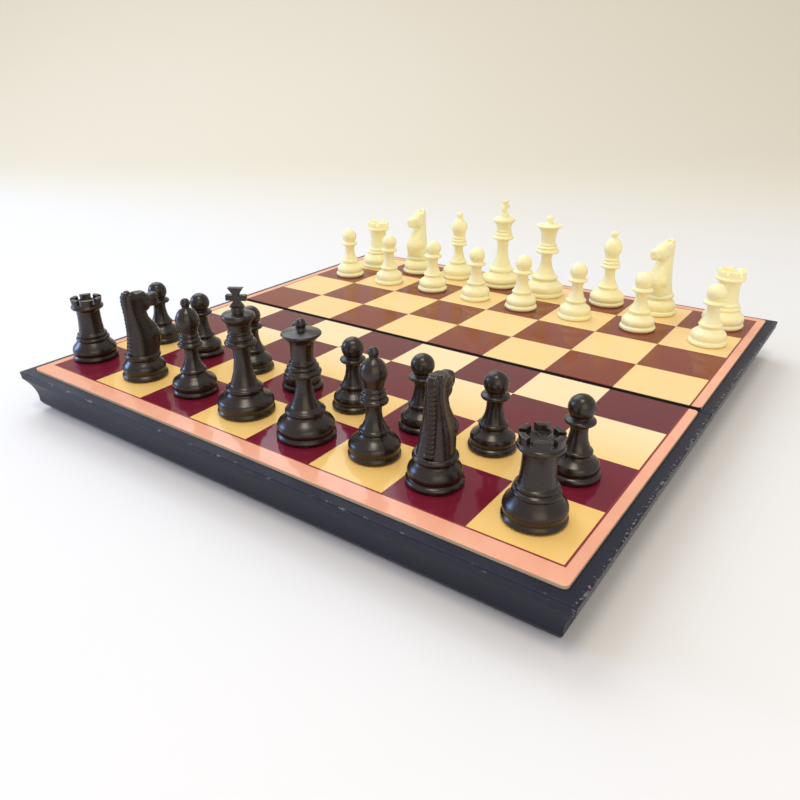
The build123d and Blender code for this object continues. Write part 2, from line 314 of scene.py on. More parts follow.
# The far inks are the print's colours lightened and warmed by a painted reflection of the warm wall.
far_inks_and_glare = dict(near_inks)
far_inks_and_glare["dark"] = (0.215, 0.040, 0.024, 1)
far_inks_and_glare["dark_shift"] = (0.255, 0.054, 0.032, 1)
far_inks_and_glare["light"] = (0.92, 0.67, 0.31, 1)
far_inks_and_glare["light_shift"] = (0.93, 0.70, 0.37, 1)
far_inks_and_glare["dark_under_glare"] = far_inks_and_glare["dark"]
far_inks_and_glare["light_under_glare"] = far_inks_and_glare["light"]
near_print = make_print("near_print", near_row, near_inks)
far_print = make_print("far_print", far_row, far_inks_and_glare)
nodes["near_playing_panel"].data.materials[0] = near_print
nodes["far_playing_panel"].data.materials[0] = far_print
print("near print starts at", round(near_row / mm, 1), "mm, far print at", round(far_row / mm, 1), "mm")

# %% [markdown]
# ## The hidden metal
#
# Under each panel lies a thin tinned steel sheet, which the magnets hold to. The hinge pins are bright
# wire, and the magnets are nickel-plated discs. All three are one recipe, a metal with fine streaks or
# mottling, in different tones.


# %% Make the metals
def make_metal(name, colour, roughness, streaks):
    """A metal with noise marks, which streaks draws out along X where its first number is small."""
    material, tree, shader, place, _ = start_material(name)
    mark_shade = 0.72
    marks = speckle(tree, place, 1.5 * mm, 4.0, streaks)
    darker = tuple(mark_shade * c for c in colour[:3]) + (1,)
    tree.links.new(tint(tree, marks, darker, colour), shader.inputs["Base Color"])
    shader.inputs["Metallic"].default_value = 1.0
    rough = sums(tree, "MULTIPLY_ADD", marks, 0.2, roughness)
    tree.links.new(rough, shader.inputs["Roughness"])
    roughen(tree, shader, marks, 0.01 * mm)
    return material


sheet_steel = make_metal("sheet_steel", (0.60, 0.61, 0.62, 1), 0.30, (0.1, 3.0, 3.0))
pin_steel = make_metal("pin_steel", (0.66, 0.65, 0.62, 1), 0.18, (0.2, 3.0, 3.0))
magnet_nickel = make_metal("magnet_nickel", (0.70, 0.68, 0.63, 1), 0.16, (1.0, 1.0, 1.0))
for name, node in nodes.items():
    if name.endswith("steel_sheet"):
        node.data.materials[0] = sheet_steel
    if name.endswith("hinge_pin"):
        node.data.materials[0] = pin_steel
    if name.endswith("_magnet"):
        node.data.materials[0] = magnet_nickel
print("metals done")

# %% [markdown]
# ## The two plastics of the men
#
# The men are moulded polystyrene, one army black and satin, the other ivory. Ivory plastic lets light in a
# little way and glows warm in its hollows, which is what subsurface scattering does. Both have the faint
# orange-peel of a mould surface.


# %% Make the men's plastics
def make_men_plastic(name, first, second, roughness):
    material, tree, shader, place, _ = start_material(name)
    cloud = speckle(tree, place, 6 * mm, 3.0)
    tree.links.new(tint(tree, cloud, first, second), shader.inputs["Base Color"])
    fine = speckle(tree, place, 0.9 * mm, 3.0)
    rough = sums(tree, "MULTIPLY_ADD", fine, 0.08, roughness)
    tree.links.new(rough, shader.inputs["Roughness"])
    roughen(tree, shader, fine, 0.008 * mm)
    return material, shader


black_plastic, black_shader = make_men_plastic(
    "black_plastic", (0.010, 0.005, 0.004, 1), (0.017, 0.009, 0.007, 1), 0.24
)
black_shader.inputs["Specular IOR Level"].default_value = 0.55
ivory_plastic, ivory_shader = make_men_plastic(
    "ivory_plastic", (0.97, 0.90, 0.52, 1), (0.98, 0.93, 0.60, 1), 0.34
)
ivory_shader.inputs["Subsurface Weight"].default_value = 0.35
ivory_shader.inputs["Subsurface Radius"].default_value = (1.0, 0.55, 0.22)
ivory_shader.inputs["Subsurface Scale"].default_value = 2.2 * mm
plastics = {"black": black_plastic, "white": ivory_plastic}
print("men's plastics done")

# %% [markdown]
# ## Outlines of the men
#
# Every man but the knight's head is round, so one outline from the foot to the top says its whole shape. A
# step of two numbers is a straight line to that radius and height, and a step of four is an arc that
# passes through its first point. Rings, feet, stems and balls repeat from man to man, so each is a
# function. Millimetres here, because that is how a turner would measure them.


# %% Outline parts
def ring(radius, low, high):
    """A rounded ring standing out to radius between two heights."""
    root = radius - 0.35 * (high - low)
    return [(root, low), (radius, (low + high) / 2, root, high)]


def foot(radius, dome, dome_top, neck, neck_height):
    """The base that all the men share: a foot ring, a groove, a dome and a neck."""
    shoulder = dome - 0.25 * (dome - dome_top)
    return [
        (radius - 0.9, 0.0),
        (radius, 1.15, radius - 0.5, 2.1),
        (dome - 0.35, 2.4),
        (dome, 3.3, shoulder, (3.0 + neck_height) / 2 + 0.3),
        (dome_top, neck_height - 0.9),
        (neck, neck_height),
    ]


def stem(bottom, low, top, high):
    """A stem that flares towards its foot, from radius bottom at height low up to top at high."""
    waist = top + 0.25 * (bottom - top)
    return [(bottom, low), (waist, low + 0.32 * (high - low), top, high)]


def ball(radius, neck, centre):
    """A ball on a neck, closed on the axis."""
    start = centre - math.sqrt(radius**2 - neck**2)
    return [(neck, start), (radius, centre, 0.0, centre + radius)]


# %% The outlines
merlon_floor = 24.8
merlon_top = 26.8
merlon_bore = 4.3
outlines = {
    "pawn": foot(8.1, 7.4, 5.4, 4.5, 7.4)
    + ring(4.9, 8.0, 9.5)
    + stem(3.9, 10.2, 2.75, 17.6)
    + ring(4.7, 18.0, 19.4)
    + ball(4.1, 2.8, 23.0),
    "rook": foot(9.4, 9.1, 7.4, 6.7, 8.0)
    + ring(6.9, 8.3, 9.8)
    + ring(6.2, 10.2, 11.4)
    + stem(5.3, 11.7, 4.8, 21.6)
    + ring(6.6, 22.2, 23.8)
    + [(6.0, 24.1), (6.4, merlon_top), (merlon_bore, merlon_top)]
    + [(merlon_bore, merlon_floor), (0.0, merlon_floor)],
    "knight": foot(9.1, 8.4, 7.4, 6.4, 7.4) + ring(7.1, 8.0, 10.4) + [(0.0, 10.4)],
    "bishop": foot(8.7, 8.5, 5.8, 4.8, 7.8)
    + ring(5.0, 8.4, 10.0)
    + stem(3.9, 10.7, 2.6, 18.2)
    + ring(4.7, 18.8, 20.4)
    + ring(4.1, 20.9, 22.0)
    + ring(3.7, 22.6, 23.8)
    + [(3.2, 24.4), (3.8, 26.2), (4.4, 29.6, 2.7, 32.9), (1.4, 33.7)]
    + ball(1.8, 1.4, 35.6),
    "queen": foot(10.3, 9.9, 7.6, 6.4, 8.0)
    + ring(6.9, 8.8, 10.6)
    + stem(5.0, 11.5, 2.9, 22.2)
    + ring(6.1, 22.8, 24.4)
    + ring(5.3, 24.9, 26.2)
    + ring(4.5, 26.6, 27.6)
    + [(3.7, 28.0), (4.0, 33.4), (4.5, 34.4), (6.3, 36.3), (6.6, 36.8, 6.2, 37.2), (1.6, 38.0)]
    + ball(1.8, 1.5, 40.0),
    "king": foot(10.5, 10.3, 7.0, 6.2, 7.9)
    + ring(6.8, 8.4, 10.2)
    + stem(5.0, 11.0, 3.1, 25.2)
    + ring(5.7, 25.8, 27.6)
    + ring(4.7, 28.1, 29.3)
    + ring(4.2, 29.9, 31.1)
    + [(3.9, 31.6), (4.3, 33.8), (5.4, 35.2), (5.9, 36.3, 5.2, 37.3)]
    + [(2.2, 37.8), (2.2, 39.8), (0.0, 39.8)],
}
seat_radii = {"pawn": 4.5, "rook": 6.0, "knight": 6.0, "bishop": 5.0, "queen": 6.5, "king": 6.5}
seat_gap = 0.1
magnet_height = 3.0
print("outlines for", ", ".join(outlines))

# %% [markdown]
# An outline of steps becomes points in two passes. The first follows each arc. The second takes the
# sharpness off every corner, because a mould has no perfectly sharp edges and neither has the plastic.


# %% Points along an outline
arc_step = math.radians(15)
nearly_straight = math.radians(155)


def arc_points(start, through, end):
    """Points from start to end, a step of about fifteen degrees each, on the circle through all three."""
    a, b, c = Vector(start), Vector(through), Vector(end)
    across = 2 * ((b - a).x * (c - a).y - (b - a).y * (c - a).x)
    length_b, length_c = (b - a).length_squared, (c - a).length_squared
    centre = a + Vector((
        ((c - a).y * length_b - (b - a).y * length_c) / across,
        ((b - a).x * length_c - (c - a).x * length_b) / across,
    ))
    radius = (a - centre).length
    begin = math.atan2(a.y - centre.y, a.x - centre.x)
    finish = math.atan2(c.y - centre.y, c.x - centre.x)
    turn = math.tau if across > 0 else -math.tau
    sweep = (finish - begin) % turn
    count = max(3, round(abs(sweep) / arc_step))
    angles = [begin + sweep * step / count for step in range(1, count + 1)]
    return [centre + radius * Vector((math.cos(angle), math.sin(angle))) for angle in angles]


def outline_points(steps):
    points = [Vector(steps[0])]
    for step in steps[1:]:
        if len(step) == 4:
            points += arc_points(points[-1], step[:2], step[2:])
        else:
            points.append(Vector(step))
    return points


def soften(points, radius):
    """Replaces each real corner by a short curve that starts and ends about radius away from it."""
    made = [points[0]]
    for before, corner, after in zip(points, points[1:], points[2:]):
        inward, outward = before - corner, after - corner
        if inward.angle(outward) > nearly_straight:
            made.append(corner)
            continue
        start = corner + inward.normalized() * min(radius, 0.4 * inward.length)
        end = corner + outward.normalized() * min(radius, 0.4 * outward.length)
        made += [start, (start + 2 * corner + end) / 4, end]
    return made + [points[-1]]


def man_outline(kind, edge=0.32):
    """The whole section of a man, from the middle of its magnet seat, round the foot and up to the top."""
    seat = seat_radii[kind] + seat_gap
    seat_top = magnet_height + 2 * seat_gap
    steps = [(0.0, seat_top), (seat, seat_top), (seat, 0.0)] + outlines[kind]
    return soften(outline_points(steps), edge)


print("points in each outline", {kind: len(man_outline(kind)) for kind in outlines})

# %% [markdown]
# ## A lathe made of Geometry Nodes
#
# A lathe turns one outline into a round body, so a rule makes the whole man and a node tree is the natural
# way. The tree lays out a grid with one column for each outline point and one row for each turn, looks up
# the outline point for each vertex, and bends the grid round the axis. Rows are crowded together at the
# two parting lines of the mould, where a hair of flash stands proud, so the fine line costs no extra mesh.


# %% Geometry Nodes helpers
def start_tree(name, sockets):
    """A new node tree with a Geometry input and output, and the named inputs given."""
    tree = bpy.data.node_groups.new(name, "GeometryNodeTree")
    tree.interface.new_socket("Geometry", in_out="INPUT", socket_type="NodeSocketGeometry")
    for label, kind in sockets.items():
        tree.interface.new_socket(label, in_out="INPUT", socket_type=f"NodeSocket{kind}")
    tree.interface.new_socket("Geometry", in_out="OUTPUT", socket_type="NodeSocketGeometry")
    return tree, tree.nodes.new("NodeGroupInput").outputs


def end_tree(tree, geometry, material):
    """Ends a tree in Realize Instances and Set Material."""
    real = add(tree, "GeometryNodeRealizeInstances", {0: geometry}).outputs[0]
    painted = add(tree, "GeometryNodeSetMaterial", {"Geometry": real, "Material": material})
    out = tree.nodes.new("NodeGroupOutput")
    tree.links.new(painted.outputs[0], out.inputs[0])


def run_tree(tree, mesh, name, values):
    """Runs a tree on a mesh and returns the result as a plain mesh."""
    holder = bpy.data.objects.new(name, mesh)
    bpy.context.scene.collection.objects.link(holder)
    modifier = holder.modifiers.new("nodes", "NODES")
    modifier.node_group = tree
    for item in tree.interface.items_tree:
        if item.in_out == "INPUT" and item.name in values:
            modifier[item.identifier] = values[item.name]
    bpy.context.view_layer.update()
    graph = bpy.context.evaluated_depsgraph_get()
    result = bpy.data.meshes.new_from_object(holder.evaluated_get(graph), depsgraph=graph)
    bpy.data.objects.remove(holder)
    result.name = name
    return result


# %% Build the lathe
def build_lathe():
    sockets = {"Turns": "Int", "Crowding": "Float", "Flash Height": "Float", "Flash Width": "Float"}
    tree, given = start_tree("lathe", {**sockets, "Plastic": "Material"})
    bare_radius, full_radius = 0.3 * mm, 1.2 * mm
    weld_distance = 0.001 * mm
    outline = given["Geometry"]
    count = add(tree, "GeometryNodeAttributeDomainSize", {"Geometry": outline}).outputs["Point Count"]
    rows = sums(tree, "ADD", given["Turns"], 1)
    grid = add(tree, "GeometryNodeMeshGrid", {"Vertices X": rows, "Vertices Y": count}).outputs["Mesh"]

    index = add(tree, "GeometryNodeInputIndex", {}).outputs[0]
    row = sums(tree, "FLOOR", sums(tree, "DIVIDE", sums(tree, "ADD", index, 0.5), count))
    column = sums(tree, "SUBTRACT", index, sums(tree, "MULTIPLY", row, count))
    place = add(tree, "GeometryNodeInputPosition", {}).outputs[0]
    sample = add(
        tree, "GeometryNodeSampleIndex", {"Geometry": outline}, data_type="FLOAT_VECTOR", domain="POINT"
    )
    tree.links.new(place, sample.inputs["Value"])
    tree.links.new(column, sample.inputs["Index"])
    point = add(tree, "ShaderNodeSeparateXYZ", {0: sample.outputs[0]}).outputs

    even = sums(tree, "MULTIPLY", sums(tree, "DIVIDE", row, given["Turns"]), math.tau)
    wave = sums(tree, "SINE", sums(tree, "MULTIPLY", even, 2.0))
    shift = sums(tree, "MULTIPLY", sums(tree, "MULTIPLY", wave, given["Crowding"]), -0.5)
    angle = sums(tree, "ADD", even, shift)

    off_seam = sums(tree, "MULTIPLY", point["X"], sums(tree, "SINE", angle))
    ratio = sums(tree, "DIVIDE", off_seam, given["Flash Width"])
    bell = sums(tree, "EXPONENT", sums(tree, "MULTIPLY", sums(tree, "MULTIPLY", ratio, ratio), -1.0))
    fade = add(tree, "ShaderNodeMapRange", {0: point["X"], 1: bare_radius, 2: full_radius}).outputs[0]
    flash = sums(tree, "MULTIPLY", sums(tree, "MULTIPLY", bell, given["Flash Height"]), fade)
    radius = sums(tree, "ADD", point["X"], flash)
    bent = add(
        tree,
        "ShaderNodeCombineXYZ",
        {
            "X": sums(tree, "MULTIPLY", radius, sums(tree, "COSINE", angle)),
            "Y": sums(tree, "MULTIPLY", radius, sums(tree, "SINE", angle)),
            "Z": point["Z"],
        },
    ).outputs[0]
    turned = add(tree, "GeometryNodeSetPosition", {"Geometry": grid, "Position": bent}).outputs[0]
    inputs = {"Geometry": turned, "Distance": weld_distance}
    closed = add(tree, "GeometryNodeMergeByDistance", inputs).outputs[0]
    smooth = add(tree, "GeometryNodeSetShadeSmooth", {0: closed}).outputs[0]
    end_tree(tree, smooth, given["Plastic"])
    return tree


lathe = build_lathe()


def outline_mesh(name, points):
    """Outline points as a bare mesh: X is the radius and Z the height, in metres."""
    mesh = bpy.data.meshes.new(name)
    vertices = [(point.x * mm, 0.0, point.y * mm) for point in points]
    mesh.from_pydata(vertices, [(i, i + 1) for i in range(len(vertices) - 1)], [])
    return mesh


def turn_man(kind, plastic):
    values = {"Turns": 60, "Crowding": 0.55, "Flash Height": 0.07 * mm, "Flash Width": 0.16 * mm}
    values["Plastic"] = plastic
    return run_tree(lathe, outline_mesh(kind, man_outline(kind)), f"{kind}_blank", values)


pawn_blank = turn_man("pawn", black_plastic)
tallest = max(vertex.co.z for vertex in pawn_blank.vertices)
print("a turned pawn:", len(pawn_blank.polygons), "faces,", round(tallest / mm, 1), "mm tall")

# %% [markdown]
# ## Cutting and adding
#
# A few men need more than the lathe. A rook's battlements are gaps that repeat round a circle, so a second
# node tree makes one gap for each merlon and subtracts them all at once. The bishop's slot and the king's
# cross happen once each, so a plain Boolean modifier does them.


# %% Helpers for cut and joined meshes
def block(name, size, place, turn=Matrix.Identity(4)):
    """A rectangular block as a mesh: size and place in millimetres."""
    mesh = bpy.data.meshes.new(name)
    corners = [
        turn @ Vector((x * size[0] / 2, y * size[1] / 2, z * size[2] / 2)) + Vector(place)
        for x in (-1, 1)
        for y in (-1, 1)
        for z in (-1, 1)
    ]
    faces = [(0, 1, 3, 2), (4, 6, 7, 5), (0, 4, 5, 1), (2, 3, 7, 6), (0, 2, 6, 4), (1, 5, 7, 3)]
    mesh.from_pydata([corner * mm for corner in corners], [], faces)
    return mesh


def apply_modifiers(mesh, name, recipes):
    """Gives a mesh each modifier in turn and returns the result as a plain mesh."""
    holder = bpy.data.objects.new(name, mesh)
    bpy.context.scene.collection.objects.link(holder)
    helpers = []
    for kind, options in recipes:
        modifier = holder.modifiers.new(kind.lower(), kind)
        for option, value in options.items():
            if isinstance(value, bpy.types.Mesh):
                value = bpy.data.objects.new("helper", value)
                bpy.context.scene.collection.objects.link(value)
                helpers.append(value)
            setattr(modifier, option, value)
    bpy.context.view_layer.update()
    graph = bpy.context.evaluated_depsgraph_get()
    result = bpy.data.meshes.new_from_object(holder.evaluated_get(graph), depsgraph=graph)
    for done in (holder, *helpers):
        bpy.data.objects.remove(done)
    result.name = name
    return result


def shade(mesh, angle=38):
    """Smooth shading, but a crisp edge wherever two faces meet more sharply than that angle."""
    mesh.polygons.foreach_set("use_smooth", [True] * len(mesh.polygons))
    mesh.set_sharp_from_angle(angle=math.radians(angle))
    return mesh


# %% Build the battlement cutter
cutter_height = 6 * mm


def build_battlements():
    sockets = {"Count": "Int", "Gap": "Float", "Rim": "Float", "Floor": "Float", "Depth": "Float"}
    tree, given = start_tree("battlements", {**sockets, "Plastic": "Material"})
    points = {"Resolution": given["Count"], "Radius": given["Rim"]}
    circle = add(tree, "GeometryNodeCurvePrimitiveCircle", points).outputs[0]
    spots = add(tree, "GeometryNodeCurveToPoints", {"Curve": circle}, mode="EVALUATED")
    size = add(
        tree, "ShaderNodeCombineXYZ", {"X": given["Depth"], "Y": given["Gap"], "Z": cutter_height}
    ).outputs[0]
    cutter = add(tree, "GeometryNodeMeshCube", {"Size": size}).outputs[0]
    place = add(tree, "GeometryNodeInputPosition", {}).outputs[0]
    facing = add(
        tree, "FunctionNodeAlignRotationToVector", {"Vector": place}, axis="X", pivot_axis="Z"
    ).outputs[0]
    inputs = {"Points": spots.outputs[0], "Instance": cutter, "Rotation": facing}
    cutters = add(tree, "GeometryNodeInstanceOnPoints", inputs).outputs[0]
    middle = sums(tree, "ADD", given["Floor"], cutter_height / 2)
    height = add(tree, "ShaderNodeCombineXYZ", {"Z": middle}).outputs[0]
    lifted = add(tree, "GeometryNodeTransform", {"Geometry": cutters, "Translation": height}).outputs[0]
    loose = add(tree, "GeometryNodeRealizeInstances", {0: lifted}).outputs[0]
    inputs = {"Mesh 1": given["Geometry"], "Mesh 2": loose}
    cut = add(tree, "GeometryNodeMeshBoolean", inputs, operation="DIFFERENCE", solver="EXACT").outputs[0]
    end_tree(tree, cut, given["Plastic"])
    return tree


battlements = build_battlements()


def make_rook(plastic):
    values = {"Count": 6, "Gap": 1.9 * mm, "Rim": 6.3 * mm, "Floor": merlon_floor * mm, "Depth": 6 * mm}
    values["Plastic"] = plastic
    return shade(run_tree(battlements, turn_man("rook", plastic), "rook", values))


# %% The bishop's slot and the king's cross
slot_size = (4.4, 10, 0.8)
slot_place = (3.4, 0, 30.6)
slot_tilt = math.radians(-40)


def make_bishop(plastic):
    slot_cutter = block("slot", slot_size, slot_place, Matrix.Rotation(slot_tilt, 4, "Y"))
    options = {"operation": "DIFFERENCE", "solver": "EXACT", "object": slot_cutter}
    return shade(apply_modifiers(turn_man("bishop", plastic), "bishop", [("BOOLEAN", options)]))


cross_half = [(2.7, 39.5), (1.1, 41.6), (1.1, 42.0), (3.6, 41.9), (3.6, 43.9), (1.1, 43.8)]
cross_half += [(1.1, 44.2), (2.7, 46.4)]
cross_thickness = 2.2


def make_king(plastic):
    """The turned king with a flared cross, cut from flat stock and softened along its edges."""
    sides = cross_half + [(-x, height) for x, height in reversed(cross_half)]
    count = len(sides)
    cross = bpy.data.meshes.new("cross")
    depths = (-cross_thickness / 2, cross_thickness / 2)
    vertices = [(x * mm, y * mm, z * mm) for y in depths for x, z in sides]
    faces = [tuple(range(count)), tuple(reversed(range(count, 2 * count)))]
    faces += [(i + count, (i + 1) % count + count, (i + 1) % count, i) for i in range(count)]
    cross.from_pydata(vertices, [], faces)
    bevel = {"width": 0.3 * mm, "segments": 3, "limit_method": "ANGLE"}
    cross = apply_modifiers(cross, "cross", [("BEVEL", bevel)])
    cross.materials.append(plastic)
    options = {"operation": "UNION", "solver": "EXACT", "object": cross}
    return shade(apply_modifiers(turn_man("king", plastic), "king", [("BOOLEAN", options)]))


print("rook", len(make_rook(black_plastic).polygons), "bishop", len(make_bishop(black_plastic).polygons))
print("king", len(make_king(black_plastic).polygons))

# %% [markdown]
# ## The knight
#
# A horse's head follows no simple rule, so it is sculpted from overlapping forms: a body that is lofted
# through level ovals, a muzzle lofted forwards, and the smaller forms on either side. The comb of the mane
# does repeat, so a node tree sets one tooth after another along the crest. A voxel remesh melts everything
# into a single skin, and a little smoothing rounds the creases as a mould would. Last, the nostrils and the
# mouth are pressed into the skin. All the lists are in millimetres, with X forwards and Z up.


# %% Horse forms
def oval_loft(name, sections, matrix=Matrix.Identity(4), around=40, square_up=1.0):
    """A closed body through ovals. A section is height, front, back and half width, in millimetres.
    Below 1, square_up pushes the ovals out towards their corners."""
    vertices = []
    for height, front, back, half_width in sections:
        middle, half_length = (front + back) / 2, (front - back) / 2
        for step in range(around):
            angle = math.tau * step / around
            along, aside = math.cos(angle), math.sin(angle)
            x = middle + half_length * math.copysign(abs(along) ** square_up, along)
            y = half_width * math.copysign(abs(aside) ** square_up, aside)
            vertices.append((matrix @ Vector((x, y, height))) * mm)
    faces = [tuple(reversed(range(around)))]
    for level in range(len(sections) - 1):
        low, high = level * around, (level + 1) * around
        for step in range(around):
            after = (step + 1) % around
            faces.append((low + step, low + after, high + after, high + step))
    faces.append(tuple(range((len(sections) - 1) * around, len(sections) * around)))
    mesh = bpy.data.meshes.new(name)
    mesh.from_pydata(vertices, [], faces)
    return mesh


def egg(name, place, radii, turn=0):
    """A stretched ball as an oval loft, turned about Y."""
    matrix = Matrix.Translation(place) @ Matrix.Rotation(math.radians(turn), 4, "Y")
    levels = [-0.98, -0.9, -0.7, -0.4, 0, 0.4, 0.7, 0.9, 0.98]
    sections = []
    for level in levels:
        share = math.sqrt(1 - level * level)
        sections.append((level * radii[2], share * radii[0], -share * radii[0], share * radii[1]))
    return oval_loft(name, sections, matrix, 24)


horse_body = [
    (9.6, 6.4, -5.9, 5.6),
    (12.5, 7.4, -5.4, 5.3),
    (14.5, 8.3, -5.1, 5.1),
    (16.5, 8.8, -4.9, 4.9),
    (18.5, 8.5, -4.7, 4.6),
    (20.5, 7.4, -4.6, 4.2),
    (22.5, 5.9, -4.5, 3.8),
    (24.5, 4.5, -4.6, 3.5),
    (26.5, 4.0, -4.7, 3.2),
    (28.5, 4.3, -4.9, 3.0),
    (31.0, 4.9, -5.0, 2.9),
    (33.0, 5.1, -5.0, 2.9),
    (34.2, 4.9, -4.9, 2.7),
    (34.8, 4.1, -4.5, 2.2),
]
horse_muzzle = [
    (-1.0, 3.0, -3.0, 2.7),
    (2.5, 3.0, -3.4, 3.0),
    (4.4, 2.6, -3.5, 2.9),
    (5.6, 2.1, -3.2, 2.5),
    (6.8, 2.4, -2.9, 2.4),
    (8.2, 2.8, -2.8, 2.5),
    (9.2, 2.5, -2.6, 2.2),
    (9.8, 1.7, -1.9, 1.5),
]
muzzle_root = (0.6, 0.0, 31.6)
muzzle_slope = 8
mane = [
    (10.6, -4.0, -6.0, 1.6),
    (20.0, -3.6, -5.0, 1.5),
    (27.0, -3.6, -5.1, 1.5),
    (32.0, -3.4, -5.6, 1.5),
    (34.6, -3.2, -5.4, 1.5),
    (35.8, -3.0, -4.6, 1.3),
]
# Each form on the side of the head or the chest: its middle, its radii and its lean in degrees.
side_forms = {
    "cheek": ((3.2, 1.2, 29.6), (2.8, 2.2, 2.8), 0),
    "ear": ((-1.8, 1.5, 34.9), (1.2, 0.8, 1.1), -30),
    "eye": ((4.0, 2.4, 32.4), (0.7, 0.5, 0.55), 0),
    "brow": ((3.8, 2.2, 33.3), (1.2, 0.6, 0.4), 12),
    "shoulder": ((4.2, 3.0, 16.8), (3.2, 2.5, 3.6), 14),
}
nostril = {"place": (9.3, 2.1, 31.2), "radius": 0.8, "depth": 0.35}
mouth_start, mouth_end = Vector((7.0, 2.4, 29.3)), Vector((9.7, 2.4, 28.94))
mouth_dents = 7
mouth_dent = {"radius": 0.45, "depth": 0.22}
crest = [(-5.9, 11.4), (-4.9, 20), (-5.0, 27), (-5.5, 32), (-5.3, 34.2), (-4.3, 35.6), (-3.0, 35.9)]


# %% Build the comb of the mane
def build_comb():
    sockets = {"Pitch": "Float", "Tooth Length": "Float", "Tooth Width": "Float", "Tooth Height": "Float"}
    tree, given = start_tree("comb", {**sockets, "Plastic": "Material"})
    line = add(tree, "GeometryNodeMeshToCurve", {0: given["Geometry"]}).outputs[0]
    inputs = {"Curve": line, "Length": given["Pitch"]}
    spots = add(tree, "GeometryNodeCurveToPoints", inputs, mode="LENGTH")
    size = add(
        tree,
        "ShaderNodeCombineXYZ",
        {"X": given["Tooth Height"], "Y": given["Tooth Width"], "Z": given["Tooth Length"]},
    ).outputs[0]
    tooth = add(tree, "GeometryNodeMeshCube", {"Size": size}).outputs[0]
    facing = add(
        tree, "FunctionNodeAlignRotationToVector", {"Vector": spots.outputs["Tangent"]}, axis="Z"
    ).outputs[0]
    inputs = {"Points": spots.outputs[0], "Instance": tooth, "Rotation": facing}
    teeth = add(tree, "GeometryNodeInstanceOnPoints", inputs).outputs[0]
    end_tree(tree, teeth, given["Plastic"])
    return tree


comb = build_comb()


def make_comb():
    line = outline_mesh("crest", [Vector(point) for point in crest])
    values = {"Pitch": 1.45 * mm, "Tooth Length": 0.80 * mm, "Tooth Width": 2.4 * mm}
    values.update({"Tooth Height": 0.8 * mm, "Plastic": black_plastic})
    return run_tree(comb, line, "comb", values)


# %% Sculpt the knight
def join_meshes(name, meshes):
    """Puts several meshes into one without joining their surfaces."""
    vertices, faces = [], []
    for mesh in meshes:
        start = len(vertices)
        vertices += [vertex.co.copy() for vertex in mesh.vertices]
        faces += [tuple(start + index for index in face.vertices) for face in mesh.polygons]
    joined = bpy.data.meshes.new(name)
    joined.from_pydata(vertices, [], faces)
    return joined


def press(mesh, place, radius, depth):
    """Moves the skin near a point on either side of the head, inwards where depth is above zero."""
    for vertex in mesh.vertices:
        side = 1 if vertex.co.y > 0 else -1
        spot = Vector((place[0], side * place[1], place[2])) * mm
        reach = (vertex.co - spot).length / (radius * mm)
        if reach < 1:
            vertex.co.y -= side * depth * mm * (1 - reach * reach) ** 2


def sculpt_horse():
    muzzle_turn = Matrix.Rotation(math.radians(90 + muzzle_slope), 4, "Y")
    muzzle_matrix = Matrix.Translation(muzzle_root) @ muzzle_turn @ Matrix.Rotation(math.pi, 4, "Z")
    parts = [oval_loft("body", horse_body, square_up=0.72), oval_loft("mane", mane, square_up=0.4)]
    parts.append(oval_loft("muzzle", horse_muzzle, muzzle_matrix, square_up=0.72))
    for side in (-1, 1):
        for name, ((x, y, z), radii, lean) in side_forms.items():
            parts.append(egg(name, (x, y * side, z), radii, lean))
    parts.append(make_comb())
    remesh = {"mode": "VOXEL", "voxel_size": 0.25 * mm}
    smooth = {"factor": 0.5, "iterations": 2}
    horse = apply_modifiers(join_meshes("horse", parts), "horse", [("REMESH", remesh), ("SMOOTH", smooth)])
    press(horse, **nostril)
    for step in range(mouth_dents):
        press(horse, mouth_start.lerp(mouth_end, step / (mouth_dents - 1)), **mouth_dent)
    return horse


horse = sculpt_horse()
print("the horse has", len(horse.polygons), "faces")


def make_knight(plastic):
    knight = join_meshes("knight", [turn_man("knight", plastic), horse])
    knight.materials.append(plastic)
    return shade(knight, 60)


# %% [markdown]
# ## Setting up the men
#
# Each kind is made once for each army. A man on the board is a copy of that mesh, turned about its own axis
# and carried to its place, so that its object can stay at the origin. It rides on the body of the CAD man
# that it stands for. A pawn's CAD node holds its magnet too, so each pawn gets a new disc as well. Headings
# are in degrees. The round men are each turned a little further than the last, so that their parting lines
# don't all face the same way.

# %% Make the men
makers = {
    "pawn": lambda plastic: turn_man("pawn", plastic),
    "queen": lambda plastic: turn_man("queen", plastic),
    "rook": make_rook,
    "bishop": make_bishop,
    "king": make_king,
    "knight": make_knight,
}
headings = {
    "black_kingside_knight": 92,
    "black_queenside_knight": 103,
    "white_kingside_knight": 272,
    "white_queenside_knight": 254,
    "black_king": 30,
    "white_king": 96,
}
bishop_heading = 150
turn_between_men = 12
disc_radius = seat_radii["pawn"]
disc_low, disc_high = seat_gap, seat_gap + magnet_height
disc_outline = [(0, disc_low), (disc_radius, disc_low), (disc_radius, disc_high), (0, disc_high)]
disc_edge = 0.3


def set_piece(mesh, name, place, heading):
    """A copy of a mesh, turned and carried to its place, in an object at the origin."""
    copy = mesh.copy()
    copy.transform(Matrix.Translation(place) @ Matrix.Rotation(math.radians(heading), 4, "Z"))
    piece = bpy.data.objects.new(name, copy)
    bpy.context.scene.collection.objects.link(piece)
    return piece


def make_disc():
    points = soften([Vector(step) for step in disc_outline], disc_edge)
    values = {"Turns": 40, "Crowding": 0.0, "Flash Height": 0.0, "Flash Width": 1.0, "Plastic": magnet_nickel}
    return run_tree(lathe, outline_mesh("disc", points), "disc", values)


